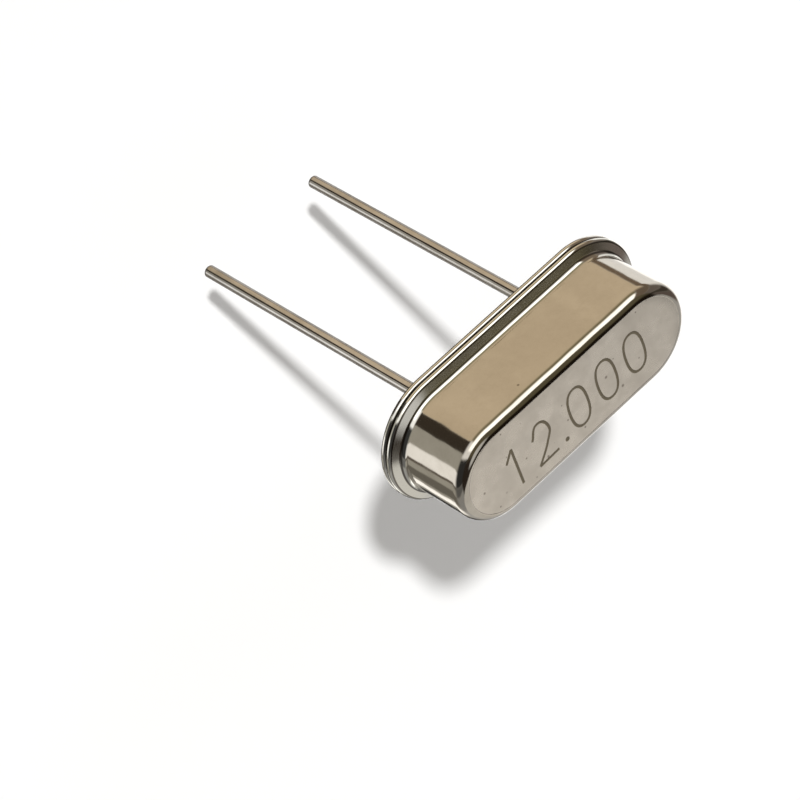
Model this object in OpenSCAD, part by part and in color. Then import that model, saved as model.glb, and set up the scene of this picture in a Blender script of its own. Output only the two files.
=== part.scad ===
// Two-lead quartz crystal unit in a low, welded metal can.
// Millimetres. +Z is up through the cap, +X runs along the can.
// The origin is the centre of the seating face, the flat underside of the base.

/* [Can] */
// Length of the can over its two round ends
can_length = 10.12; // [9.4:0.02:11.4]
// Width of the can
can_width = 3.74; // [3.4:0.02:4.6]
// Height of the cap above the seating face
body_height = 3.2; // [2.7:0.05:4]
// Thickness of the drawn sheet
can_wall = 0.22; // [0.16:0.01:0.28]
// Outer radius of the rounded edge round the cap
cap_edge_r = 0.38; // [0.3:0.01:0.5]
// Radius of the hollow corner between wall and flange
root_r = 0.2; // [0.14:0.01:0.28]

/* [Flange] */
// How far both flanges stand out past the can wall
flange_reach = 0.44; // [0.42:0.01:0.6]
// How much thicker than the sheet the can's flange is at the wall
flange_swell = 0.12; // [0:0.01:0.14]
// How much thinner than the sheet the can's flange is at the rim
flange_thinning = 0.03; // [0:0.01:0.06]
// Rounding along the top of both rims
rim_r = 0.13; // [0.04:0.01:0.13]
// Rounding along the underside of both rims
rim_under_r = 0.06; // [0.02:0.01:0.06]
// Thickness of the flange of the base
base_flange_t = 0.225; // [0.18:0.005:0.3]
// Height of the weld ridge that holds the two flanges apart
weld_gap = 0.03; // [0.02:0.005:0.05]
// Width of the weld ridge
weld_w = 0.08; // [0.06:0.01:0.12]
// Distance from the rim to the outer side of the weld ridge
weld_inset = 0.13; // [0.1:0.005:0.14]

/* [Base] */
// Thickness of the raised middle of the base
header_t = 0.9; // [0.7:0.02:1.1]
// Gap between the raised middle and the inside of the can
header_gap = 0.12; // [0.08:0.01:0.25]
// Rounding along the top of the raised middle
header_edge_r = 0.15; // [0.08:0.01:0.25]
// Diameter of each glass-filled hole
eyelet_d = 1.3; // [1:0.05:1.6]
// Depth of the glass below the rim of its hole, on the underside
seal_recess = 0.1; // [0.08:0.01:0.16]
// Height of the glass cone that creeps along the lead
meniscus = 0.06; // [0.03:0.01:0.07]

/* [Leads] */
// Distance between the two lead centres
lead_pitch = 4.88; // [4.5:0.02:5.3]
// Diameter of the lead, with its plating
lead_d = 0.43; // [0.35:0.01:0.55]
// Thickness of the plating, which ends at the seating face
plating_t = 0.01; // [0.005:0.001:0.015]
// Length of each lead below the seating face
lead_length = 11.7; // [6:0.1:14]
// Bevel round the cut tip of a lead
tip_bevel = 0.05; // [0.02:0.01:0.1]
// Diameter of the flattened head at the inner end of a lead
head_d = 0.8; // [0.7:0.02:1]
// Thickness of the flattened head
head_t = 0.12; // [0.08:0.01:0.2]
// Gap between the base and the flattened head
head_gap = 0.14; // [0.1:0.01:0.2]

/* [Quartz blank] */
// Frequency of the quartz blank in megahertz, which sets its thickness
frequency_mhz = 12; // [8:1:24]
// Length of the quartz blank
blank_length = 8; // [7.4:0.1:8.6]
// Width of the quartz blank
blank_width = 2; // [1.6:0.05:2.3]
// Length of the electrode field in the middle of the blank
electrode_length = 3.8; // [3:0.1:4.6]
// Width of the electrode field
electrode_width = 1.5; // [1.1:0.05:1.6]
// Width of the strip that leads from the field to one end of the blank
electrode_tab_w = 0.5; // [0.3:0.05:0.8]
// Thickness of the electrode film
film_t = 0.02; // [0.01:0.005:0.03]

/* [Spring clips] */
// Thickness of the clip strip
clip_t = 0.1; // [0.06:0.01:0.14]
// Width of the clip strip
clip_width = 1.1; // [0.8:0.05:1.3]
// Length of the clip foot that is welded to the lead
foot_length = 0.9; // [0.8:0.02:1]
// Height of the shelf above the top of the foot
shelf_rise = 0.36; // [0.2:0.02:0.5]
// Gap between the end of the blank and the upturned lip of the clip
lip_gap = 0.06; // [0.04:0.01:0.1]
// Height of the lip above the shelf
lip_height = 0.3; // [0.2:0.02:0.5]

/* [Adhesive] */
// Diameter of an adhesive dot
dot_d = 0.8; // [0.6:0.02:0.9]
// Thickness of the adhesive between the shelf and the blank
bond_t = 0.05; // [0.04:0.005:0.08]
// Height of the adhesive above the blank
dot_cap = 0.12; // [0.06:0.01:0.2]
// Distance from the end of the blank to the middle of the dot
dot_inset = 0.3; // [0.2:0.02:0.5]

/* [Hidden] */
$fn = 96;

// Colours
steel = [0.74, 0.70, 0.64];
header_steel = [0.68, 0.66, 0.63];
seal_glass = [0.13, 0.13, 0.14];
lead_metal = [0.82, 0.80, 0.76];
clip_metal = [0.72, 0.70, 0.60];
quartz = [0.86, 0.90, 0.92];
silver_film = [0.90, 0.90, 0.88];
silver_paste = [0.55, 0.55, 0.54];

// A quartz plate of this cut is 1.661 mm thick at 1 MHz, and thinner in proportion above it
at_cut_constant = 1.661;

// Plan: every outline is a stadium round the same two end centres
half_run = (can_length - can_width) / 2;
can_r = can_width / 2;
flange_r = can_r + flange_reach;
header_r = can_r - can_wall - header_gap;
lead_x = lead_pitch / 2;
wire_r = lead_d / 2 - plating_t;

// Heights
can_flange_bottom = base_flange_t + weld_gap;
can_rim_t = can_wall - flange_thinning;
cap_edge_bottom = body_height - cap_edge_r;
head_bottom = header_t + head_gap;
foot_bottom = head_bottom + head_t;
shelf_top = foot_bottom + clip_t + shelf_rise;
blank_bottom = shelf_top + bond_t;
blank_t = at_cut_constant / frequency_mhz;
blank_top = blank_bottom + blank_t;

// The inside of the cap edge keeps the sheet thickness, and is sharp where the edge is tighter than that
cap_inner_r = max(cap_edge_r - can_wall, 0);

// Where the clip changes direction, outward from the lead
foot_inner = lead_x - foot_length / 2;
foot_outer = lead_x + foot_length / 2;
lip_inner = blank_length / 2 + lip_gap;
lip_outer = lip_inner + clip_t;
dot_x = blank_length / 2 - dot_inset;

// Fall of the can's flange from the wall to the rim, as an angle
fall = atan2(flange_swell + flange_thinning, flange_reach);

// Roundings of the rims, no larger than the two flanges have room for
rim_top = min(rim_r, 0.68 * can_rim_t, 0.68 * base_flange_t);
rim_under = min(rim_under_r, 0.3 * can_rim_t, 0.3 * base_flange_t);

// Overshoot that keeps cutting tools clear of the faces they cut
cut = 0.01;

// Quarter of a disc in the positive quadrant
module quarter_disc(r) {
    intersection() {
        circle(r = r);
        square(r);
    }
}

// Quarter of a ring in the positive quadrant
module quarter_ring(outer, inner) {
    difference() {
        quarter_disc(outer);
        circle(r = inner);
    }
}

// What a rounded corner leaves of the square that holds it, with overshoot on the two outer sides
module corner_waste(r) {
    difference() {
        translate([-cut, -cut]) square(r + cut);
        translate([r, r]) circle(r = r);
    }
}

// Sweeps a profile round a stadium: X of the profile is the distance from its spine, Y is height
module round_stadium() {
    for (side = [-1, 1])
        translate([side * half_run, 0, 0])
            rotate([0, 0, -90 * side])
                rotate_extrude(angle = 180) children();
    rotate([90, 0, 90])
        translate([0, 0, -half_run])
            linear_extrude(height = 2 * half_run) {
                children();
                mirror([1, 0]) children();
            }
}

// Section of the can's wall and flange. The flange falls from the wall to the rim, and its bend keeps
// the sheet's thickness on the underside.
module wall_profile() {
    wall_inside = can_r - can_wall;
    lean = [sin(fall), cos(fall)];
    root_centre = [
        can_r + root_r,
        can_flange_bottom + can_wall + flange_swell + root_r * (1 / lean.y - tan(fall))
    ];
    rim_centre = [
        flange_r - rim_top,
        can_flange_bottom + can_rim_t - rim_top * (1 / lean.y - tan(fall))
    ];
    under_centre = [flange_r - rim_under, can_flange_bottom + rim_under];
    difference() {
        polygon([
            [wall_inside, can_flange_bottom],
            [under_centre.x, can_flange_bottom],
            [flange_r, under_centre.y],
            [flange_r, rim_centre.y],
            rim_centre + rim_top * lean,
            root_centre - root_r * lean,
            root_centre,
            [can_r, root_centre.y],
            [can_r, cap_edge_bottom],
            [wall_inside, cap_edge_bottom]
        ]);
        translate(root_centre) circle(r = root_r);
        translate([wall_inside, can_flange_bottom]) corner_waste(root_r + can_wall);
    }
    translate(rim_centre) quarter_disc(rim_top);
    translate(under_centre) circle(r = rim_under);
}

// Section of the drawn can: cap, rounded edge, wall and turned-out flange
module can_profile() {
    edge_start = can_r - cap_edge_r;
    translate([0, body_height - can_wall]) square([edge_start, can_wall]);
    translate([edge_start, cap_edge_bottom]) quarter_ring(cap_edge_r, cap_inner_r);
    wall_profile();
}

// Section of the base: thin flange with the weld ridge, and the raised middle
module base_profile() {
    edge_r = header_edge_r;
    difference() {
        square([flange_r, base_flange_t]);
        translate([flange_r, 0]) mirror([1, 0]) corner_waste(rim_under);
        translate([flange_r, base_flange_t]) rotate(180) corner_waste(rim_top);
    }
    translate([0, base_flange_t]) square([header_r, header_t - edge_r - base_flange_t]);
    translate([0, header_t - edge_r]) square([header_r - edge_r, edge_r]);
    translate([header_r - edge_r, header_t - edge_r]) quarter_disc(edge_r);
    translate([flange_r - weld_inset - weld_w, base_flange_t]) square([weld_w, weld_gap]);
}

module can() {
    color(steel) round_stadium() can_profile();
}

module base() {
    color(header_steel)
        difference() {
            round_stadium() base_profile();
            for (side = [-1, 1])
                translate([side * lead_x, 0, -cut])
                    cylinder(d = eyelet_d, h = header_t + 2 * cut);
        }
}

// Glass bead that fills the hole round the lead and creeps along the wire on both faces
module glass_seal(side) {
    color(seal_glass)
        translate([side * lead_x, 0, 0])
            rotate_extrude()
                polygon([
                    [wire_r, seal_recess - meniscus],
                    [eyelet_d / 2, seal_recess],
                    [eyelet_d / 2, header_t],
                    [wire_r, header_t + meniscus]
                ]);
}

// Round wire with a bevelled tip and a flattened head inside the can, plated where it is bare outside
module lead(side) {
    r = lead_d / 2;
    color(lead_metal)
        translate([side * lead_x, 0, 0])
            rotate_extrude()
                polygon([
                    [0, -lead_length],
                    [r - tip_bevel, -lead_length],
                    [r, tip_bevel - lead_length],
                    [r, 0],
                    [wire_r, 0],
                    [wire_r, head_bottom],
                    [head_d / 2, head_bottom],
                    [head_d / 2, foot_bottom],
                    [0, foot_bottom]
                ]);
}

// Folded strip: foot on the lead, riser, shelf under the blank and lip past its end
module clip(side) {
    color(clip_metal)
        mirror([side < 0 ? 1 : 0, 0, 0])
            translate([0, clip_width / 2, 0])
                rotate([90, 0, 0])
                    linear_extrude(height = clip_width)
                        polygon([
                            [foot_inner, foot_bottom],
                            [foot_outer, foot_bottom],
                            [foot_outer, shelf_top - clip_t],
                            [lip_outer, shelf_top - clip_t],
                            [lip_outer, shelf_top + lip_height],
                            [lip_inner, shelf_top + lip_height],
                            [lip_inner, shelf_top],
                            [foot_outer - clip_t, shelf_top],
                            [foot_outer - clip_t, foot_bottom + clip_t],
                            [foot_inner, foot_bottom + clip_t]
                        ]);
}

module quartz_blank() {
    color(quartz)
        translate([-blank_length / 2, -blank_width / 2, blank_bottom])
            cube([blank_length, blank_width, blank_t]);
}

// Metal film: a field in the middle and a strip to one end of the blank
module electrode(side, bottom) {
    color(silver_film)
        translate([0, 0, bottom])
            linear_extrude(height = film_t)
                mirror([side < 0 ? 1 : 0, 0]) {
                    translate([-electrode_length / 2, -electrode_width / 2])
                        square([electrode_length, electrode_width]);
                    translate([0, -electrode_tab_w / 2])
                        square([blank_length / 2, electrode_tab_w]);
                }
}

module electrode_upper() {
    electrode(-1, blank_top);
}

module electrode_lower() {
    electrode(1, blank_bottom - film_t);
}

// Domed dot of silver paste, before the blank, its films and the clip are taken out of it
module dot_body(side) {
    rise = blank_top + dot_cap - shelf_top;
    translate([side * dot_x, 0, shelf_top])
        intersection() {
            cylinder(d = dot_d, h = rise + cut);
            translate([0, 0, rise - dot_d]) sphere(r = dot_d);
        }
}

// Conductive adhesive that wraps the end of the blank and bonds it to the clip
module adhesive(side) {
    color(silver_paste)
        difference() {
            dot_body(side);
            quartz_blank();
            electrode_upper();
            electrode_lower();
            clip(side);
        }
}

can();
base();
glass_seal(-1);  // glass_seal_left
glass_seal(1);  // glass_seal_right
lead(-1);  // lead_left
lead(1);  // lead_right
clip(-1);  // clip_left
clip(1);  // clip_right
quartz_blank();
electrode_upper();
electrode_lower();
adhesive(-1);  // adhesive_left
adhesive(1);  // adhesive_right
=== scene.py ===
# Dresses a two-lead quartz crystal can: drawn nickel sheet, stamped base, glass seals and plated wire.
import math

import bmesh
import bpy
from mathutils import Matrix, Quaternion, Vector


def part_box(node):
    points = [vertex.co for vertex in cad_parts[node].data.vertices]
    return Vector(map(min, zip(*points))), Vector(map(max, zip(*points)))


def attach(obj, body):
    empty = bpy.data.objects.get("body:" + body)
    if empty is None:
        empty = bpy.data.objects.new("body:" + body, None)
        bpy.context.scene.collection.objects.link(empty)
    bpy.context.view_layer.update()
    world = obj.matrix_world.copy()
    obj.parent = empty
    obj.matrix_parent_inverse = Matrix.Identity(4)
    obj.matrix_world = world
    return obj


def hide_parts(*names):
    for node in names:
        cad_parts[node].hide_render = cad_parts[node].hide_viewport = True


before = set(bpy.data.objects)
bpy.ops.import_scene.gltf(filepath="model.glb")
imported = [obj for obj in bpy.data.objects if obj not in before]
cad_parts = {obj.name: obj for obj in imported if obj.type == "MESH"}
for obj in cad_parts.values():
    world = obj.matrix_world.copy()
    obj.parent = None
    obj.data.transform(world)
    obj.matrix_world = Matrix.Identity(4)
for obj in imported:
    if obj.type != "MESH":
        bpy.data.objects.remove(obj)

mm = 0.001
nearby = 0.001 * mm            # points within this are at the same height
mergeDistance = 0.0005 * mm    # and within this they are one point
sharpAngle = math.radians(35)  # edges that turn by more stay sharp
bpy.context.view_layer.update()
print("frame loaded:", len(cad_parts), "solids")

# Places, all taken from the solids
canLow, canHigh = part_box("can")
wireLow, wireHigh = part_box("lead_right")
sealLow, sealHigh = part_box("glass_seal_right")

flangeRadius = canHigh.y                       # to the rim, from the middle line of the can
halfRun = canHigh.x - canHigh.y                # from the middle to the centre of a round end
capTop = canHigh.z
flangeBottom = canLow.z
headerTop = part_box("base")[1].z
wireX = (sealLow.x + sealHigh.x) / 2
eyeletRadius = (sealHigh.x - sealLow.x) / 2
headTop = wireHigh.z
headRadius = (wireHigh.x - wireLow.x) / 2
wireTip = wireLow.z


# Camera, floor and light
view = {
    "aim": Vector((-2.94, -0.063, -1.878)) * mm,
    "distance": 132.54 * mm,
    "azimuth": 116.98,     # degrees from +X towards +Y
    "elevation": 38.30,
    "roll": 120.51,        # the part lies on its side
    "lens": 189.0,
}


def placeCamera():
    around, up = math.radians(view["azimuth"]), math.radians(view["elevation"])
    back = Vector((math.cos(around) * math.cos(up), math.sin(around) * math.cos(up), math.sin(up)))
    data = bpy.data.cameras.new("camera")
    data.lens = view["lens"]
    data.clip_start = 1 * mm
    data.clip_end = 10
    camera = bpy.data.objects.new("camera", data)
    bpy.context.collection.objects.link(camera)
    camera.location = view["aim"] + back * view["distance"]
    camera.rotation_mode = "QUATERNION"
    upright = (-back).to_track_quat("-Z", "Y")
    camera.rotation_quaternion = upright @ Quaternion((0, 0, 1), math.radians(view["roll"]))
    bpy.context.scene.camera = camera


placeCamera()
bpy.context.scene.view_settings.view_transform = "Standard"
print("camera placed")


# Small helpers for nodes
number, vectorKind = "NodeSocketFloat", "NodeSocketVector"


def addNode(tree, kind, values=None, **settings):
    node = tree.nodes.new(kind)
    for name, value in settings.items():
        setattr(node, name, value)
    for socket, value in (values or {}).items():
        if isinstance(value, bpy.types.NodeSocket):
            tree.links.new(value, node.inputs[socket])
        else:
            node.inputs[socket].default_value = value
    return node


def mathNode(tree, operation, first, second=0.0):
    return addNode(tree, "ShaderNodeMath", {0: first, 1: second}, operation=operation).outputs[0]


def mixColour(tree, factor, first, second):
    node = addNode(tree, "ShaderNodeMix", {0: factor, 6: first, 7: second}, data_type="RGBA")
    return node.outputs[2]


def softStep(tree, value, start, end, low=0.0, high=1.0):
    values = {0: value, 1: start, 2: end, 3: low, 4: high}
    return addNode(tree, "ShaderNodeMapRange", values, interpolation_type="SMOOTHSTEP").outputs[0]


def between(tree, mask, low, high):
    # A value that goes from one number to another as the mask goes from 0 to 1
    return softStep(tree, mask, 0.0, 1.0, low, high)


def noiseMask(tree, place, scale, detail):
    noise = addNode(tree, "ShaderNodeTexNoise", {"Vector": place, "Scale": scale, "Detail": detail})
    return noise.outputs[0]


def connectBump(tree, shader, height, distance):
    bump = addNode(tree, "ShaderNodeBump", {"Height": height, "Distance": distance, "Strength": 1.0})
    tree.links.new(bump.outputs[0], shader.inputs["Normal"])


def bandMask(tree, value, centre, half):
    # 1 on a narrow band round one value, fading to 0 at its two sides
    away = mathNode(tree, "ABSOLUTE", mathNode(tree, "SUBTRACT", value, centre))
    return softStep(tree, away, half, 0.3 * half)


def startGroup(name, inputs, outputs):
    group = bpy.data.node_groups.new(name, "ShaderNodeTree")
    for label, kind, value in inputs:
        socket = group.interface.new_socket(label, in_out="INPUT", socket_type=kind)
        if value is not None:
            socket.default_value = value
    for label, kind in outputs:
        group.interface.new_socket(label, in_out="OUTPUT", socket_type=kind)
    return group, addNode(group, "NodeGroupInput")


def useGroup(tree, group, *values):
    return addNode(tree, "ShaderNodeGroup", dict(enumerate(values)), node_tree=group)


def grey(level):
    return (level, level, level, 1)


# The studio round the part: what the bright metal mirrors
# A card is a bearing, a half width and a soft edge, in degrees. Heights are those of a direction's end
# on a globe of radius 1, and each pair fades from the first to the second
studio = {
    "table": (0.69, 0.575, 0.42, 1),      # warm wood that the long wall mirrors
    "tableEdge": (0.22, 0.19, 0.11, 1),
    "room": (0.43, 0.42, 0.38, 1),
    "roomHeights": (-0.38, 0.04),         # from the low cards to the high ones
    "ground": (0.055, 0.050, 0.038, 1),   # only the undersides of the rims mirror it
    "groundHeights": (-0.70, -0.80),
    "softbox": (1.95, 1.95, 1.95, 1),
    "softboxCard": (86.0, 37.0, 4.0),
    "softboxHeights": (0.10, 0.40),
    "ceiling": (0.115, 0.100, 0.060, 1),  # olive
    "ceilingHeights": (0.66, 0.75),
    "ceilingNear": (0.012, 0.008, 0.005, 1),
    "ceilingNearCard": (-42.0, 38.0, 20.0),
    "ceilingFar": (0.030, 0.023, 0.018, 1),
    "ceilingFarCard": (210.0, 68.0, 12.0),
    "ceilingStep": 0.06,                  # it comes lower behind the screen
    "ceilingStepCard": (-55.0, 20.0, 12.0),
    "zenith": (0.62, 0.62, 0.62, 1),      # a pale lamp straight above
    "zenithHeights": (0.950, 0.985),
    "screen": (0.62, 0.61, 0.585, 1),     # the round screen that the cap mirrors
    "screenMiddle": (-0.03, -0.82, 0.572),
    "screenEdge": (0.876, 0.900),         # cosines of the angle from its middle
    "screenBright": (0.97, 0.94, 0.915, 1),
    "screenBrightCard": (-56.0, 16.0, 8.0),
}
# Cards on and under the table's height, each with its tone
lowCards = [
    (66.0, 39.0, 1.5, studio["table"]),
    (119.0, 13.5, 1.0, (0.050, 0.040, 0.030, 1)),
    (180.0, 14.5, 2.0, grey(1.15)),
    (196.5, 3.0, 1.5, (0.15, 0.13, 0.11, 1)),
    (223.5, 10.5, 2.0, (0.18, 0.17, 0.15, 1)),
    (248.0, 6.5, 1.5, grey(1.5)),
    (270.0, 8.0, 1.5, grey(0.05)),
    (282.0, 5.0, 1.5, grey(0.20)),
    (313.0, 26.0, 2.0, grey(1.4)),
    (349.5, 11.0, 3.0, grey(1.0)),
    (4.0, 9.0, 2.0, grey(1.05)),
    (19.5, 6.5, 2.0, (0.19, 0.14, 0.10, 1)),
]
# The same, for cards that stand above it
highCards = [
    (77.0, 29.0, 3.0, studio["tableEdge"]),
    (122.0, 18.0, 4.0, grey(1.0)),
    (168.0, 28.0, 4.0, grey(0.035)),
    (205.0, 10.0, 4.0, grey(0.14)),
    (230.0, 15.0, 5.0, grey(0.32)),
    (256.0, 12.0, 5.0, grey(0.50)),
    (278.0, 11.0, 5.0, grey(0.55)),
    (305.0, 17.0, 5.0, grey(0.46)),
    (330.0, 9.0, 4.0, (0.13, 0.105, 0.095, 1)),
    (347.0, 9.0, 4.0, (0.065, 0.055, 0.045, 1)),
    (6.0, 11.0, 4.0, (0.17, 0.145, 0.13, 1)),
    (32.0, 16.0, 4.0, (0.18, 0.14, 0.105, 1)),
]


def cardMaskGroup():
    # 1 where a bearing falls on a card, whichever way round the circle is shorter
    labels = ("bearing", "centre", "half width", "soft edge")
    group, entry = startGroup("cardMask", [(label, number, None) for label in labels], [("mask", number)])
    away = mathNode(group, "SUBTRACT", entry.outputs[0], entry.outputs[1])
    away = addNode(group, "ShaderNodeMath", {0: away, 1: 180.0, 2: -180.0}, operation="WRAP").outputs[0]
    away = mathNode(group, "ABSOLUTE", away)
    outer = mathNode(group, "ADD", entry.outputs[2], entry.outputs[3])
    inner = mathNode(group, "SUBTRACT", entry.outputs[2], entry.outputs[3])
    addNode(group, "NodeGroupOutput", {0: softStep(group, away, inner, outer, 1.0, 0.0)})
    return group


def buildStudio():
    world = bpy.data.worlds.new("studio")
    bpy.context.scene.world = world
    world.use_nodes = True
    tree = world.node_tree
    tree.nodes.clear()
    direction = addNode(tree, "ShaderNodeTexCoord").outputs["Generated"]
    split = addNode(tree, "ShaderNodeSeparateXYZ", {0: direction})
    height = split.outputs["Z"]
    bearing = mathNode(tree, "ARCTAN2", split.outputs["Y"], split.outputs["X"])
    bearing = mathNode(tree, "DEGREES", bearing)
    maskGroup = cardMaskGroup()

    def card(centre, half, soft):
        return useGroup(tree, maskGroup, bearing, centre, half, soft).outputs[0]

    low = studio["room"]
    for centre, half, soft, tone in lowCards:
        low = mixColour(tree, card(centre, half, soft), low, tone)
    high = studio["room"]
    for centre, half, soft, tone in highCards:
        high = mixColour(tree, card(centre, half, soft), high, tone)
    colour = mixColour(tree, softStep(tree, height, *studio["roomHeights"]), low, high)
    colour = mixColour(tree, softStep(tree, height, *studio["groundHeights"]), colour, studio["ground"])
    softbox = softStep(tree, height, *studio["softboxHeights"])
    softbox = mathNode(tree, "MULTIPLY", card(*studio["softboxCard"]), softbox)
    colour = mixColour(tree, softbox, colour, studio["softbox"])
    ceiling = mixColour(tree, card(*studio["ceilingNearCard"]), studio["ceiling"], studio["ceilingNear"])
    ceiling = mixColour(tree, card(*studio["ceilingFarCard"]), ceiling, studio["ceilingFar"])
    lowered = mathNode(tree, "MULTIPLY", card(*studio["ceilingStepCard"]), studio["ceilingStep"])
    ceilingHeight = mathNode(tree, "ADD", height, lowered)
    colour = mixColour(tree, softStep(tree, ceilingHeight, *studio["ceilingHeights"]), colour, ceiling)
    colour = mixColour(tree, softStep(tree, height, *studio["zenithHeights"]), colour, studio["zenith"])
    dot = {0: direction, 1: studio["screenMiddle"]}
    toScreen = addNode(tree, "ShaderNodeVectorMath", dot, operation="DOT_PRODUCT")
    screen = softStep(tree, toScreen.outputs["Value"], *studio["screenEdge"])
    bright = card(*studio["screenBrightCard"])
    screenTone = mixColour(tree, bright, studio["screen"], studio["screenBright"])
    colour = mixColour(tree, screen, colour, screenTone)
    seen = addNode(tree, "ShaderNodeLightPath").outputs["Is Camera Ray"]
    colour = mixColour(tree, seen, colour, grey(1.0))      # the camera sees plain white
    background = addNode(tree, "ShaderNodeBackground", {"Color": colour, "Strength": 1.0})
    addNode(tree, "ShaderNodeOutputWorld", {"Surface": background.outputs[0]})


buildStudio()

floorPlan = {
    "size": 3.0,
    "gap": 3.4 * mm,        # the leads' tips stand clear of it
    "colour": grey(0.90),
    "roughness": 0.9,
    "lift": 0.06,           # so that it shows white, with the shadow kept
}


def layFloor():
    mesh = bpy.data.meshes.new("floor")
    bm = bmesh.new()
    bmesh.ops.create_grid(bm, x_segments=1, y_segments=1, size=floorPlan["size"])
    bmesh.ops.translate(bm, verts=bm.verts, vec=(0, 0, wireTip - floorPlan["gap"]))
    bm.to_mesh(mesh)
    bm.free()
    floor = bpy.data.objects.new("floor", mesh)
    bpy.context.collection.objects.link(floor)
    floor.visible_glossy = False      # the metal mirrors the studio instead
    floor.visible_shadow = False
    material = bpy.data.materials.new("floor")
    material.use_nodes = True
    tree = material.node_tree
    tree.nodes.clear()
    path = addNode(tree, "ShaderNodeLightPath")
    seen = mathNode(tree, "MAXIMUM", path.outputs["Is Camera Ray"], path.outputs["Is Glossy Ray"])
    seen = mathNode(tree, "MAXIMUM", seen, path.outputs["Is Transmission Ray"])
    lift = mathNode(tree, "MULTIPLY", seen, floorPlan["lift"])
    shader = addNode(tree, "ShaderNodeBsdfPrincipled", {"Base Color": floorPlan["colour"]})
    shader.inputs["Roughness"].default_value = floorPlan["roughness"]
    shader.inputs["Specular IOR Level"].default_value = 0.0
    shader.inputs["Emission Color"].default_value = grey(1.0)
    tree.links.new(lift, shader.inputs["Emission Strength"])
    addNode(tree, "ShaderNodeOutputMaterial", {"Surface": shader.outputs[0]})
    mesh.materials.append(material)


layFloor()

# Lamps: where from, how wide they look in degrees, and strength
lamps = {
    "keyLamp": (Vector((-0.45, 1.30, 1.0)), 2.0, 3.5),
    "fillLamp": (Vector((0.9, -0.6, 1.4)), 40.0, 0.1),
}


def hangLamps():
    for name, (toward, width, strength) in lamps.items():
        data = bpy.data.lights.new(name, "SUN")
        data.angle = math.radians(width)
        data.energy = strength
        lamp = bpy.data.objects.new(name, data)
        bpy.context.collection.objects.link(lamp)
        lamp.location = toward.normalized() * 100 * mm      # a sun shines the same from any place
        lamp.rotation_mode = "QUATERNION"
        lamp.rotation_quaternion = (-toward).to_track_quat("-Z", "Y")
        lamp.visible_glossy = False
        lamp.visible_camera = False


hangLamps()
print("studio lit")


# Shared effects for the finishes
def blotchGroup():
    # Cloudy patches, as in the tone of plated sheet
    group, entry = startGroup(
        "blotches",
        [("place", vectorKind, None), ("patches per mm", number, 2.0), ("detail", number, 4.0)],
        [("mask", number)],
    )
    noise = addNode(group, "ShaderNodeTexNoise", {"Vector": entry.outputs[0], "Scale": entry.outputs[1]})
    group.links.new(entry.outputs[2], noise.inputs["Detail"])
    noise.inputs["Roughness"].default_value = 0.62
    mask = softStep(group, noise.outputs[0], 0.32, 0.68)
    addNode(group, "NodeGroupOutput", {0: mask})
    return group


def speckGroup(name, dimensions):
    # A few small specks, each of its own size
    group, entry = startGroup(
        name,
        [
            ("place", vectorKind, None),
            ("cells per mm", number, 1.2),
            ("share", number, 0.3),
            ("radius", number, 0.08),
        ],
        [("mask", number)],
    )
    cells = addNode(group, "ShaderNodeTexVoronoi", voronoi_dimensions=dimensions)
    group.links.new(entry.outputs[0], cells.inputs["Vector"])
    group.links.new(entry.outputs[1], cells.inputs["Scale"])
    pick = addNode(group, "ShaderNodeSeparateColor", {0: cells.outputs["Color"]})
    chosen = mathNode(group, "LESS_THAN", pick.outputs[0], entry.outputs[2])
    size = mathNode(group, "MULTIPLY", pick.outputs[1], entry.outputs[3])
    inner = mathNode(group, "MULTIPLY", size, 0.4)      # the rest of a speck is its soft edge
    spot = addNode(group, "ShaderNodeMapRange", {1: inner, 2: size, 3: 1.0, 4: 0.0})
    group.links.new(cells.outputs["Distance"], spot.inputs[0])
    mask = mathNode(group, "MULTIPLY", chosen, spot.outputs[0])
    addNode(group, "NodeGroupOutput", {0: mask})
    return group


def canRadiusGroup():
    # How far a point lies from the can's long middle line, and how high
    outputs = [("radius", number), ("height", number)]
    group, entry = startGroup("canRadius", [("place", vectorKind, None)], outputs)
    split = addNode(group, "ShaderNodeSeparateXYZ", {0: entry.outputs[0]})
    past = mathNode(group, "SUBTRACT", mathNode(group, "ABSOLUTE", split.outputs[0]), halfRun / mm)
    past = mathNode(group, "MAXIMUM", past, 0.0)
    flat = addNode(group, "ShaderNodeCombineXYZ", {0: past, 1: split.outputs[1]})
    length = addNode(group, "ShaderNodeVectorMath", {0: flat.outputs[0]}, operation="LENGTH")
    addNode(group, "NodeGroupOutput", {0: length.outputs["Value"], 1: split.outputs[2]})
    return group


# Painted shade in the groove between the two flanges, in millimetres
seamShade = {
    "below": 0.004,      # its middle, under the flange of the can
    "reach": (0.080, 0.050),
    "uneven": 0.02,
    "colour": (0.10, 0.09, 0.07, 1),
}


def seamGroup():
    group, entry = startGroup("seamShade", [("place", vectorKind, None)], [("mask", number)])
    height = addNode(group, "ShaderNodeSeparateXYZ", {0: entry.outputs[0]}).outputs[2]
    middle = flangeBottom / mm - seamShade["below"]
    away = mathNode(group, "ABSOLUTE", mathNode(group, "SUBTRACT", height, middle))
    uneven = noiseMask(group, entry.outputs[0], 3.0, 3.0)
    away = mathNode(group, "ADD", away, mathNode(group, "MULTIPLY", uneven, seamShade["uneven"]))
    addNode(group, "NodeGroupOutput", {0: softStep(group, away, *seamShade["reach"])})
    return group


blotches = blotchGroup()
specks = speckGroup("specks", "3D")
flatSpecks = speckGroup("flatSpecks", "2D")
canRadius = canRadiusGroup()
seam = seamGroup()


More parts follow.
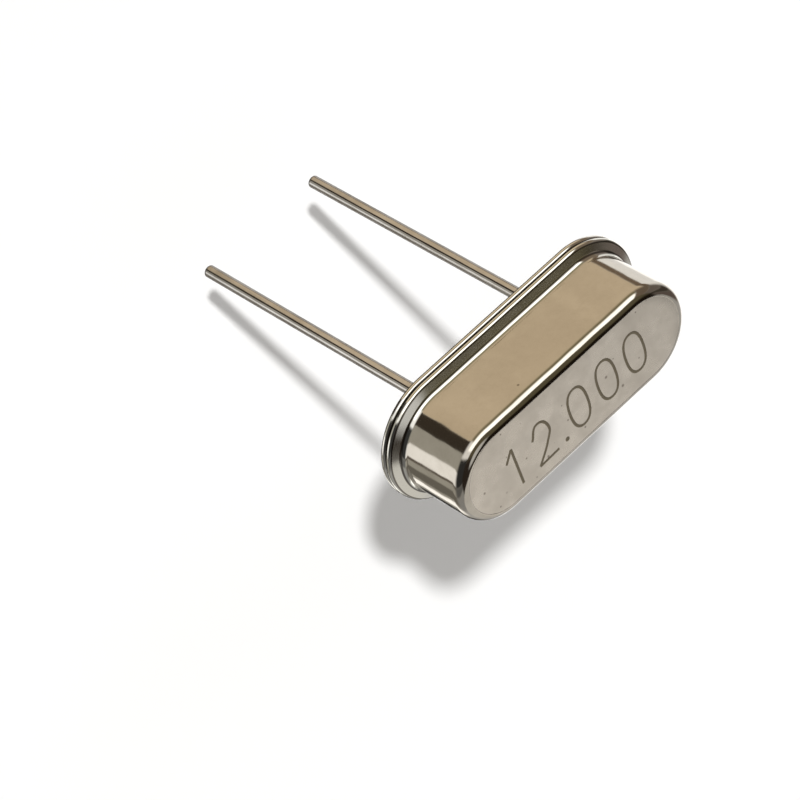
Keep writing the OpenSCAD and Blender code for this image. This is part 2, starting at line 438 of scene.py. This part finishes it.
def startMaterial(name):
    material = bpy.data.materials.new(name)
    material.use_nodes = True
    tree = material.node_tree
    tree.nodes.clear()
    shader = addNode(tree, "ShaderNodeBsdfPrincipled")
    addNode(tree, "ShaderNodeOutputMaterial", {"Surface": shader.outputs[0]})
    coordinates = addNode(tree, "ShaderNodeTexCoord").outputs["Object"]
    place = addNode(tree, "ShaderNodeVectorMath", {0: coordinates, 3: 1 / mm}, operation="SCALE").outputs[0]
    return material, tree, shader, place


def stretchedPlace(tree, place, scale):
    return addNode(tree, "ShaderNodeMapping", {"Vector": place, "Scale": scale}).outputs[0]


def connectRelief(tree, shader, place, waveHeight, grainScale, grainHeight):
    # Long slow waves and a fine grain, heights in millimetres
    waves = mathNode(tree, "MULTIPLY", noiseMask(tree, place, 0.9, 1.0), waveHeight)
    grain = mathNode(tree, "MULTIPLY", noiseMask(tree, place, grainScale, 3.0), grainHeight)
    connectBump(tree, shader, mathNode(tree, "ADD", waves, grain), mm)


canSheet = {
    "wall": 0.22 * mm,
    "flangeReach": 0.44 * mm,
    "capEdge": 0.38 * mm,
    "root": 0.160 * mm,         # hollow corner between wall and flange
    "bend": 0.42 * mm,          # its underside
    "rise": 0.135 * mm,         # the flange is thicker at the wall
    "rimDrop": 0.06 * mm,       # and thinner at the rim
    "rimTop": 0.086 * mm,
    "rimUnder": 0.068 * mm,
    "endSteps": 96,             # facets round each half circle
    "capDrop": 0.0025 * mm,     # leaves room for the marking inside the height
    "capInset": 0.25 * mm,      # from the roundings in to the flat faces of the cap
    "ceilingInset": 0.40 * mm,
    "colour": (0.66, 0.61, 0.53, 1),
    "cloudTone": (0.605, 0.557, 0.48, 1),
    "fineTone": (0.71, 0.66, 0.58, 1),
    "smudgeTone": (0.575, 0.525, 0.45, 1),
    # painted sheen on the flange
    "flangeSheenTone": (0.86, 0.83, 0.75, 1),
    # painted shade in the flange's creases
    "creaseShadeTone": (0.10, 0.08, 0.06, 1),
    "speckTone": (0.17, 0.14, 0.11, 1),
    "wallRough": (0.07, 0.11),
    "capRough": (0.27, 0.30),
    "pressedRough": 0.20,
    "waves": (0.024, 0.006),        # on the sides and on the cap, in millimetres
    "grain": (0.00035, 0.0002),
    # Where the finish changes, in millimetres: under the cap, out from the wall, in from the rim
    "underCap": (0.0030, 0.0009),
    "drawnOut": (0.003, 0.015),
    "creaseOut": 0.087,
    "creaseHalf": 0.038,
    "lipIn": 0.070,
    "lipHalf": 0.032,
    "pressedOut": (0.10, 0.15),
    "pressedIn": (0.06, 0.10),
}


def drawOutline(bm, places, roundings, segments, closed=False):
    verts = [bm.verts.new(place) for place in places]
    pairs = list(zip(verts, verts[1:]))
    if closed:
        pairs.append((verts[-1], verts[0]))
    for first, second in pairs:
        bm.edges.new((first, second))
    for vert, rounding in zip(verts, roundings):
        if rounding:
            bmesh.ops.bevel(bm, geom=[vert], offset=rounding, offset_type="OFFSET", segments=segments,
                            profile=0.5, affect="VERTICES", material=-1)


def startProfile(bm, corners):
    # Each corner: distance from the middle line, height, rounding
    places = [(halfRun, -out, up) for out, up, rounding in corners]
    drawOutline(bm, places, [corner[2] for corner in corners], 12)


def sweepStadium(bm, steps):
    # Round the right end, back along one side, round the left end, and home along the other side
    run = Vector((2 * halfRun, 0, 0))
    moving = bm.verts[:] + bm.edges[:]
    for side in (1, -1):
        turned = bmesh.ops.spin(bm, geom=moving, cent=(side * halfRun, 0, 0), axis=(0, 0, 1),
                                angle=math.pi, steps=steps)
        edges = [item for item in turned["geom_last"] if isinstance(item, bmesh.types.BMEdge)]
        straight = bmesh.ops.extrude_edge_only(bm, edges=edges)["geom"]
        verts = [item for item in straight if isinstance(item, bmesh.types.BMVert)]
        bmesh.ops.translate(bm, verts=verts, vec=-side * run)
        moving = verts + [item for item in straight if isinstance(item, bmesh.types.BMEdge)]
    bmesh.ops.remove_doubles(bm, verts=bm.verts, dist=mergeDistance)


def finishPiece(bm, name, material, weighted=True):
    bmesh.ops.recalc_face_normals(bm, faces=bm.faces)
    mesh = bpy.data.meshes.new(name)
    bm.to_mesh(mesh)
    bm.free()
    mesh.shade_smooth()
    mesh.set_sharp_from_angle(angle=sharpAngle)
    mesh.materials.append(material)
    piece = bpy.data.objects.new(name, mesh)
    bpy.context.collection.objects.link(piece)
    if weighted:
        even = piece.modifiers.new("evenNormals", "WEIGHTED_NORMAL")
        even.weight = 100
        even.keep_sharp = True
    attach(piece, "root")
    return piece


def canMaterial():
    sheet = canSheet
    wallOut = (flangeRadius - sheet["flangeReach"]) / mm
    rim = flangeRadius / mm
    capFace = (capTop - sheet["capDrop"]) / mm
    material, tree, shader, place = startMaterial("canNickel")
    shape = useGroup(tree, canRadius, place)
    radius = shape.outputs["radius"]
    top = softStep(tree, shape.outputs["height"], *[capFace - under for under in sheet["underCap"]])
    cloudy = useGroup(tree, blotches, place, 1.3, 5.0).outputs[0]
    fine = useGroup(tree, blotches, place, 4.5, 3.0).outputs[0]
    spots = useGroup(tree, specks, place, 1.4, 0.30, 0.13).outputs[0]
    capSpots = useGroup(tree, flatSpecks, place, 1.15, 0.65, 0.085).outputs[0]
    spots = mathNode(tree, "MAXIMUM", spots, mathNode(tree, "MULTIPLY", capSpots, top))
    smudges = useGroup(tree, blotches, stretchedPlace(tree, place, (0.9, 0.9, 0.45)), 0.8, 2.0)
    smudges = mathNode(tree, "MULTIPLY", smudges.outputs[0], 0.5)
    tone = mixColour(tree, cloudy, sheet["colour"], sheet["cloudTone"])
    tone = mixColour(tree, mathNode(tree, "MULTIPLY", fine, 0.3), tone, sheet["fineTone"])
    tone = mixColour(tree, smudges, tone, sheet["smudgeTone"])
    # The flange is painted brighter than the rest of the sheet, a painted sheen that lifts its reflection
    drawn = softStep(tree, radius, *[wallOut + out for out in sheet["drawnOut"]])
    tone = mixColour(tree, drawn, tone, sheet["flangeSheenTone"])
    # Painted shade darkens the two creases of the flange, at the wall and inside the rim
    crease = bandMask(tree, radius, wallOut + sheet["creaseOut"], sheet["creaseHalf"])
    lip = bandMask(tree, radius, rim - sheet["lipIn"], sheet["lipHalf"])
    creaseShade = mathNode(tree, "MULTIPLY", mathNode(tree, "MAXIMUM", crease, lip), 0.85)
    tone = mixColour(tree, creaseShade, tone, sheet["creaseShadeTone"])
    tone = mixColour(tree, mathNode(tree, "MULTIPLY", spots, 0.75), tone, sheet["speckTone"])
    # painted shade in the groove between the flanges
    tone = mixColour(tree, useGroup(tree, seam, place).outputs[0], tone, seamShade["colour"])
    tree.links.new(tone, shader.inputs["Base Color"])
    wallRough = between(tree, cloudy, *sheet["wallRough"])
    capRough = between(tree, cloudy, *sheet["capRough"])
    rough = addNode(tree, "ShaderNodeMix", {0: top, 2: wallRough, 3: capRough}).outputs[0]
    # The top of the flange is left rougher by the welding press
    pressed = softStep(tree, radius, *[wallOut + out for out in sheet["pressedOut"]])
    ends = softStep(tree, radius, *[rim - inward for inward in sheet["pressedIn"]])
    pressed = mathNode(tree, "MULTIPLY", pressed, ends)
    rough = addNode(tree, "ShaderNodeMix", {0: pressed, 2: rough, 3: sheet["pressedRough"]}).outputs[0]
    tree.links.new(rough, shader.inputs["Roughness"])
    shader.inputs["Metallic"].default_value = 1.0
    # The drawn sides are wavier than the flat cap, and the flange has less grain
    grain = mathNode(tree, "MULTIPLY", between(tree, top, *sheet["grain"]), between(tree, drawn, 1.0, 0.5))
    connectRelief(tree, shader, place, between(tree, top, *sheet["waves"]), 12.0, grain)
    return material


def buildCan():
    sheet = canSheet
    wallOut = flangeRadius - sheet["flangeReach"]
    wallIn = wallOut - sheet["wall"]
    top = capTop - sheet["capDrop"]
    flangeTop = flangeBottom + sheet["wall"] + sheet["rise"]
    rimTop = flangeBottom + sheet["wall"] - sheet["rimDrop"]
    bm = bmesh.new()
    startProfile(bm, [
        (wallOut - sheet["capEdge"] - sheet["capInset"], top, 0),
        (wallOut, top, sheet["capEdge"]),
        (wallOut, flangeTop, sheet["root"]),
        (flangeRadius, rimTop, sheet["rimTop"]),
        (flangeRadius, flangeBottom, sheet["rimUnder"]),
        (wallIn, flangeBottom, sheet["bend"]),
        (wallIn, top - sheet["wall"], sheet["capEdge"] - sheet["wall"]),
        (wallIn - sheet["ceilingInset"], top - sheet["wall"], 0),
    ])
    sweepStadium(bm, sheet["endSteps"])
    openEdges = [edge for edge in bm.edges if edge.is_boundary]
    bmesh.ops.holes_fill(bm, edges=openEdges, sides=0)
    piece = finishPiece(bm, "canShell", canMaterial())
    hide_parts("can")


buildCan()
print("can built")


baseStamping = {
    "flange": 0.225 * mm,
    "rimTop": 0.125 * mm,
    "rimUnder": 0.095 * mm,
    "weldInset": 0.13 * mm,
    "weldWidth": 0.08 * mm,
    "headerRadius": 1.53 * mm,
    "headerEdge": 0.15 * mm,
    "holeEdge": 0.035 * mm,
    "endSteps": 96,
    "holeSteps": 72,
    "underInset": 0.35 * mm,      # from the roundings in to the flat faces
    "headerInset": 0.30 * mm,
    "colour": (0.60, 0.575, 0.53, 1),
    "cloudTone": (0.55, 0.52, 0.48, 1),
    "rimTone": (0.84, 0.81, 0.74, 1),
    "speckTone": (0.22, 0.20, 0.17, 1),
    # painted shade on the rim's lower edge
    "rimUnderShadeTone": (0.14, 0.13, 0.10, 1),
    "rimRough": (0.07, 0.12),
    "underRough": (0.30, 0.38),
    # Where the finish changes, in millimetres: in from the rim, up from the underside
    "rimIn": (0.25, 0.15),
    "rimUnderShadeIn": (0.15, 0.09),
    "rimUnderShadeUp": (0.080, 0.045),
    "underUp": (0.004, 0.0),
}


def baseMaterial():
    sheet = baseStamping
    material, tree, shader, place = startMaterial("baseNickel")
    shape = useGroup(tree, canRadius, place)
    radius, height = shape.outputs["radius"], shape.outputs["height"]
    under = softStep(tree, height, *sheet["underUp"])
    cloudy = useGroup(tree, blotches, place, 1.8, 5.0).outputs[0]
    spots = useGroup(tree, specks, place, 1.6, 0.30, 0.07).outputs[0]
    tone = mixColour(tree, cloudy, sheet["colour"], sheet["cloudTone"])
    rim = softStep(tree, radius, *[flangeRadius / mm - inward for inward in sheet["rimIn"]])
    tone = mixColour(tree, mathNode(tree, "MULTIPLY", rim, 0.9), tone, sheet["rimTone"])
    tone = mixColour(tree, mathNode(tree, "MULTIPLY", spots, 0.45), tone, sheet["speckTone"])
    # painted shade in the groove between the flanges
    tone = mixColour(tree, useGroup(tree, seam, place).outputs[0], tone, seamShade["colour"])
    # Painted shade darkens the lower edge of the rim
    outside = softStep(tree, radius, *[flangeRadius / mm - inward for inward in sheet["rimUnderShadeIn"]])
    rimUnderShade = mathNode(tree, "MULTIPLY", softStep(tree, height, *sheet["rimUnderShadeUp"]), outside)
    tone = mixColour(tree, mathNode(tree, "MULTIPLY", rimUnderShade, 0.75), tone, sheet["rimUnderShadeTone"])
    tree.links.new(tone, shader.inputs["Base Color"])
    rimRough = between(tree, cloudy, *sheet["rimRough"])
    underRough = between(tree, cloudy, *sheet["underRough"])
    rough = addNode(tree, "ShaderNodeMix", {0: under, 2: rimRough, 3: underRough}).outputs[0]
    tree.links.new(rough, shader.inputs["Roughness"])
    shader.inputs["Metallic"].default_value = 1.0
    connectRelief(tree, shader, place, 0.012, 18.0, 0.0006)
    return material


def openEdgesAt(bm, height):
    edges = [edge for edge in bm.edges if edge.is_boundary]
    return [edge for edge in edges if all(abs(vert.co.z - height) < nearby for vert in edge.verts)]


def drawCircle(bm, centreX, height, radius):
    middle = Matrix.Translation((centreX, 0, height))
    circle = bmesh.ops.create_circle(bm, cap_ends=False, segments=baseStamping["holeSteps"],
                                     radius=radius, matrix=middle)
    return list({edge for vert in circle["verts"] for edge in vert.link_edges})


def buildBase():
    sheet = baseStamping
    ridgeOut = flangeRadius - sheet["weldInset"]
    ridgeIn = ridgeOut - sheet["weldWidth"]
    bm = bmesh.new()
    startProfile(bm, [
        (flangeRadius - sheet["underInset"], 0, 0),
        (flangeRadius, 0, sheet["rimUnder"]),
        (flangeRadius, sheet["flange"], sheet["rimTop"]),
        (ridgeOut, sheet["flange"], 0),
        (ridgeOut, flangeBottom, 0),
        (ridgeIn, flangeBottom, 0),
        (ridgeIn, sheet["flange"], 0),
        (sheet["headerRadius"], sheet["flange"], 0),
        (sheet["headerRadius"], headerTop, sheet["headerEdge"]),
        (sheet["headerRadius"] - sheet["headerInset"], headerTop, 0),
    ])
    sweepStadium(bm, sheet["endSteps"])
    holes = []
    for height in (0, headerTop):
        outline = openEdgesAt(bm, height)
        rings = [drawCircle(bm, side * wireX, height, eyeletRadius) for side in (-1, 1)]
        bmesh.ops.triangle_fill(bm, use_beauty=True, edges=outline + rings[0] + rings[1])
        holes.append(rings)
    for lower, upper in zip(*holes):
        bmesh.ops.bridge_loops(bm, edges=lower + upper)
    bmesh.ops.recalc_face_normals(bm, faces=bm.faces)      # so that each bevel turns the same way
    mouths = [edge for ring in holes[0] for edge in ring]
    bmesh.ops.bevel(bm, geom=mouths, offset=sheet["holeEdge"], offset_type="OFFSET", segments=4,
                    profile=0.5, affect="EDGES", material=-1)
    piece = finishPiece(bm, "baseStamping", baseMaterial())
    for polygon in piece.data.polygons:
        polygon.use_smooth = abs(polygon.normal.z) < 0.9999      # the level faces stay flat
    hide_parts("base")


buildBase()
print("base built")

glassBead = {
    "wire": 0.205 * mm,
    "recess": 0.10 * mm,
    "creep": 0.06 * mm,           # glass drawn along the wire
    "creepWidth": 0.07 * mm,
    "creepDip": 0.012 * mm,
    "creepRounding": 0.05 * mm,
    "rimWidth": 0.05 * mm,        # and its turn to the wall of the hole
    "rimSwell": 0.004 * mm,
    "rimDip": 0.03 * mm,
    "rimRounding": 0.04 * mm,
    "topCreepWidth": 0.08 * mm,
    "topDip": 0.01 * mm,
    "steps": 72,
    "colour": (0.030, 0.030, 0.034, 1),
    "cloudTone": (0.055, 0.056, 0.066, 1),
    "bubbleTone": (0.16, 0.17, 0.18, 1),
    "rough": (0.08, 0.20),
}


def glassMaterial():
    material, tree, shader, place = startMaterial("sealGlass")
    cloudy = useGroup(tree, blotches, place, 5.0, 4.0).outputs[0]
    bubbles = useGroup(tree, specks, place, 7.0, 0.25, 0.22).outputs[0]
    tone = mixColour(tree, cloudy, glassBead["colour"], glassBead["cloudTone"])
    tone = mixColour(tree, mathNode(tree, "MULTIPLY", bubbles, 0.5), tone, glassBead["bubbleTone"])
    tree.links.new(tone, shader.inputs["Base Color"])
    tree.links.new(between(tree, cloudy, *glassBead["rough"]), shader.inputs["Roughness"])
    shader.inputs["IOR"].default_value = 1.52
    connectBump(tree, shader, noiseMask(tree, place, 6.0, 2.0), 0.01 * mm)
    return material


def spinRound(bm, centre, steps):
    bmesh.ops.spin(bm, geom=bm.verts[:] + bm.edges[:], cent=centre, axis=(0, 0, 1),
                   angle=2 * math.pi, steps=steps, use_merge=True)
    bmesh.ops.remove_doubles(bm, verts=bm.verts, dist=mergeDistance)


def startTurning(bm, centreX, corners, closed):
    # Each corner: radius, height, rounding, round a centre on the can's long middle line
    places = [(centreX + out, 0, up) for out, up, rounding in corners]
    drawOutline(bm, places, [corner[2] for corner in corners], 8, closed)


def buildSeals():
    bead, outer = glassBead, eyeletRadius
    material = glassMaterial()
    for side, name in ((-1, "left"), (1, "right")):
        bm = bmesh.new()
        startTurning(bm, side * wireX, [
            (bead["wire"], bead["recess"] - bead["creep"], 0),
            (bead["wire"] + bead["creepWidth"], bead["recess"] - bead["creepDip"], bead["creepRounding"]),
            (outer - bead["rimWidth"], bead["recess"] + bead["rimSwell"], bead["rimRounding"]),
            (outer, bead["recess"] - bead["rimDip"], 0),
            (outer, headerTop - bead["topDip"], 0),
            (bead["wire"] + bead["topCreepWidth"], headerTop, bead["creepRounding"]),
            (bead["wire"], headerTop + bead["creep"], 0),
        ], True)
        spinRound(bm, (side * wireX, 0, 0), bead["steps"])
        piece = finishPiece(bm, "glassBead_" + name, material)
        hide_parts("glass_seal_" + name)


buildSeals()
print("seals built")


wire = {
    "radius": 0.215 * mm,
    "core": 0.205 * mm,       # bare, inside the glass
    "tipBevel": 0.05 * mm,
    "headThickness": 0.12 * mm,
    "headRounding": 0.02 * mm,
    "steps": 64,
    "colour": (0.70, 0.67, 0.63, 1),
    "cloudTone": (0.60, 0.565, 0.52, 1),
    "edgeTint": (0.12, 0.11, 0.10, 1),      # dark where the wire turns away
    "tipTone": (0.13, 0.12, 0.11, 1),       # cut bare and dull
    "tipReach": (0.085, 0.045),             # millimetres up from the end
    "rough": (0.07, 0.16),
}


def wireMaterial():
    material, tree, shader, place = startMaterial("platedWire")
    streaks = noiseMask(tree, stretchedPlace(tree, place, (9.0, 9.0, 0.25)), 1.0, 4.0)
    cloudy = useGroup(tree, blotches, place, 1.4, 4.0).outputs[0]
    height = addNode(tree, "ShaderNodeSeparateXYZ", {0: place}).outputs[2]
    tip = softStep(tree, height, *[wireTip / mm + reach for reach in wire["tipReach"]])
    tone = mixColour(tree, cloudy, wire["colour"], wire["cloudTone"])
    tone = mixColour(tree, tip, tone, wire["tipTone"])
    tree.links.new(tone, shader.inputs["Base Color"])
    rough = softStep(tree, streaks, 0.3, 0.7, *wire["rough"])
    rough = mathNode(tree, "ADD", rough, mathNode(tree, "MULTIPLY", tip, 0.3))
    tree.links.new(rough, shader.inputs["Roughness"])
    shader.inputs["Metallic"].default_value = 1.0
    shader.inputs["Specular Tint"].default_value = wire["edgeTint"]
    streaks = mathNode(tree, "MULTIPLY", streaks, 0.004)
    bend = mathNode(tree, "MULTIPLY", noiseMask(tree, place, 0.5, 2.0), 0.01)
    connectBump(tree, shader, mathNode(tree, "ADD", streaks, bend), mm)
    return material


def buildWires():
    material = wireMaterial()
    for side, name in ((-1, "left"), (1, "right")):
        bm = bmesh.new()
        startTurning(bm, side * wireX, [
            (0, wireTip, 0),
            (wire["radius"], wireTip, wire["tipBevel"]),
            (wire["radius"], 0, 0),
            (wire["core"], 0, 0),
            (wire["core"], headTop - wire["headThickness"], 0),
            (headRadius, headTop - wire["headThickness"], wire["headRounding"]),
            (headRadius, headTop, wire["headRounding"]),
            (0, headTop, 0),
        ], False)
        spinRound(bm, (side * wireX, 0, 0), wire["steps"])
        piece = finishPiece(bm, "wireLead_" + name, material)
        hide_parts("lead_" + name)


buildWires()
print("leads built")


# Cloudy in two tones, with a fine grain: the mark, the quartz and the silver films
def grainyMaterial(name, looks):
    material, tree, shader, place = startMaterial(name)
    cloudy = useGroup(tree, blotches, place, *looks["clouds"]).outputs[0]
    tone = mixColour(tree, cloudy, looks["colour"], looks["cloudTone"])
    tree.links.new(tone, shader.inputs["Base Color"])
    tree.links.new(between(tree, cloudy, *looks["rough"]), shader.inputs["Roughness"])
    shader.inputs["Metallic"].default_value = looks["metallic"]
    shader.inputs["IOR"].default_value = looks["ior"]
    connectBump(tree, shader, noiseMask(tree, place, looks["grain"], 2.0), looks["relief"])
    return material


# A plain number in single strokes on the cap
marking = {
    "number": "12.000",
    "centres": (-2.75, -1.55, -0.72, 0.08, 1.38, 2.68),   # of each character, in millimetres
    "height": 1.62 * mm,
    "width": 0.86 * mm,
    "stroke": 0.052 * mm,      # half the width of a line
    "turn": 2.4,               # degrees, because the mark was set a little askew
    "drop": 0.98 * mm,         # from the middle line of the cap to the foot of the number
    "fill": 0.96,              # share of the room under the part's full height
    "colour": (0.22, 0.185, 0.125, 1),
    "cloudTone": (0.30, 0.26, 0.19, 1),
    "clouds": (6.0, 4.0),      # patches per millimetre and their detail
    "rough": (0.38, 0.5),
    "metallic": 1.0,
    "ior": 1.5,
    "grain": 30.0,
    "relief": 0.002 * mm,
}
# Strokes of each character in a box one unit wide and high: closed or not, then its points;
# a corner ends in True
strokes = {
    "1": [(False, [(0.10, 0.74, True), (0.50, 1.0, True)]),
          (False, [(0.50, 1.0, True), (0.50, 0.0, True)])],
    "2": [(False, [(0.04, 0.70, False), (0.48, 1.0, False), (0.92, 0.70, False),
                   (0.66, 0.40, False), (0.0, 0.0, False)]),
          (False, [(0.0, 0.0, True), (1.0, 0.0, True)])],
    "0": [(True, [(0.03, 0.5, False), (0.5, 1.0, False), (0.97, 0.5, False), (0.5, 0.0, False)])],
    ".": [(True, [(0.46, 0.03, False), (0.5, 0.055, False), (0.54, 0.03, False),
                  (0.5, 0.005, False)])],
}


def buildMarking():
    curve = bpy.data.curves.new("frequencyStrokes", "CURVE")
    curve.dimensions = "3D"
    curve.bevel_depth = marking["stroke"]
    curve.bevel_resolution = 3
    curve.resolution_u = 10
    curve.use_fill_caps = True
    for character, centre in zip(marking["number"], marking["centres"]):
        for closed, points in strokes[character]:
            spline = curve.splines.new("BEZIER")
            spline.bezier_points.add(len(points) - 1)
            spline.use_cyclic_u = closed
            for point, (across, up, corner) in zip(spline.bezier_points, points):
                x = centre * mm + (across - 0.5) * marking["width"]
                point.co = (x, up * marking["height"] - marking["drop"], 0)
                kind = "VECTOR" if corner else "AUTO"
                point.handle_left_type = kind
                point.handle_right_type = kind
    drawn = bpy.data.objects.new("frequencyStrokes", curve)
    bpy.context.collection.objects.link(drawn)
    bpy.context.view_layer.update()
    depsgraph = bpy.context.evaluated_depsgraph_get()
    flat = bpy.data.meshes.new_from_object(drawn.evaluated_get(depsgraph))
    bpy.data.objects.remove(drawn)
    bm = bmesh.new()
    bm.from_mesh(flat)
    bpy.data.meshes.remove(flat)
    bmesh.ops.remove_doubles(bm, verts=bm.verts, dist=mergeDistance)
    room = canSheet["capDrop"] * marking["fill"]
    bmesh.ops.scale(bm, verts=bm.verts, vec=(1, 1, room / marking["stroke"]))
    turn = Matrix.Rotation(math.radians(marking["turn"]), 4, "Z")
    lift = Matrix.Translation((0, 0, capTop - canSheet["capDrop"]))
    bmesh.ops.transform(bm, verts=bm.verts, matrix=lift @ turn)
    piece = finishPiece(bm, "frequencyMark", grainyMaterial("laserMark", marking), weighted=False)


buildMarking()
print("marking drawn")


# Parts inside the can keep their solids
clipLooks = {
    "colour": (0.62, 0.59, 0.46, 1),
    "cloudTone": (0.54, 0.51, 0.40, 1),
    "rough": (0.18, 0.34),
}
quartzLooks = {
    "colour": (0.80, 0.84, 0.86, 1),
    "cloudTone": (0.74, 0.79, 0.82, 1),
    "clouds": (2.0, 3.0),
    "rough": (0.22, 0.34),
    "metallic": 0.0,
    "ior": 1.54,
    "grain": 40.0,
    "relief": 0.001 * mm,
}
filmLooks = {
    "colour": (0.86, 0.86, 0.84, 1),
    "cloudTone": (0.80, 0.79, 0.74, 1),
    "clouds": (1.6, 4.0),
    "rough": (0.16, 0.28),
    "metallic": 1.0,
    "ior": 1.5,
    "grain": 40.0,
    "relief": 0.001 * mm,
}
pasteLooks = {
    "colour": (0.32, 0.32, 0.31, 1),
    "cloudTone": (0.24, 0.24, 0.235, 1),
    "flakeTone": (0.62, 0.62, 0.60, 1),
    "rough": (0.45, 0.6),
}


def clipMaterial():
    material, tree, shader, place = startMaterial("clipSpring")
    lines = noiseMask(tree, stretchedPlace(tree, place, (0.8, 9.0, 0.8)), 1.5, 4.0)
    cloudy = useGroup(tree, blotches, place, 3.0, 4.0).outputs[0]
    tone = mixColour(tree, cloudy, clipLooks["colour"], clipLooks["cloudTone"])
    tree.links.new(tone, shader.inputs["Base Color"])
    tree.links.new(softStep(tree, lines, 0.3, 0.7, *clipLooks["rough"]), shader.inputs["Roughness"])
    shader.inputs["Metallic"].default_value = 1.0
    connectBump(tree, shader, lines, 0.002 * mm)
    return material


def pasteMaterial():
    material, tree, shader, place = startMaterial("silverPaste")
    cloudy = useGroup(tree, blotches, place, 8.0, 4.0).outputs[0]
    flakes = useGroup(tree, specks, place, 18.0, 0.5, 0.5).outputs[0]
    tone = mixColour(tree, cloudy, pasteLooks["colour"], pasteLooks["cloudTone"])
    tree.links.new(mixColour(tree, flakes, tone, pasteLooks["flakeTone"]), shader.inputs["Base Color"])
    tree.links.new(between(tree, cloudy, *pasteLooks["rough"]), shader.inputs["Roughness"])
    tree.links.new(mathNode(tree, "MULTIPLY", flakes, 0.9), shader.inputs["Metallic"])
    connectBump(tree, shader, cloudy, 0.01 * mm)
    return material


def dressInside():
    finishes = {
        clipMaterial(): ("clip_left", "clip_right"),
        grainyMaterial("lappedQuartz", quartzLooks): ("quartz_blank",),
        grainyMaterial("silverFilm", filmLooks): ("electrode_upper", "electrode_lower"),
        pasteMaterial(): ("adhesive_left", "adhesive_right"),
    }
    for material, names in finishes.items():
        for name in names:
            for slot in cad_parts[name].material_slots:
                slot.material = material


dressInside()
print("inside dressed")
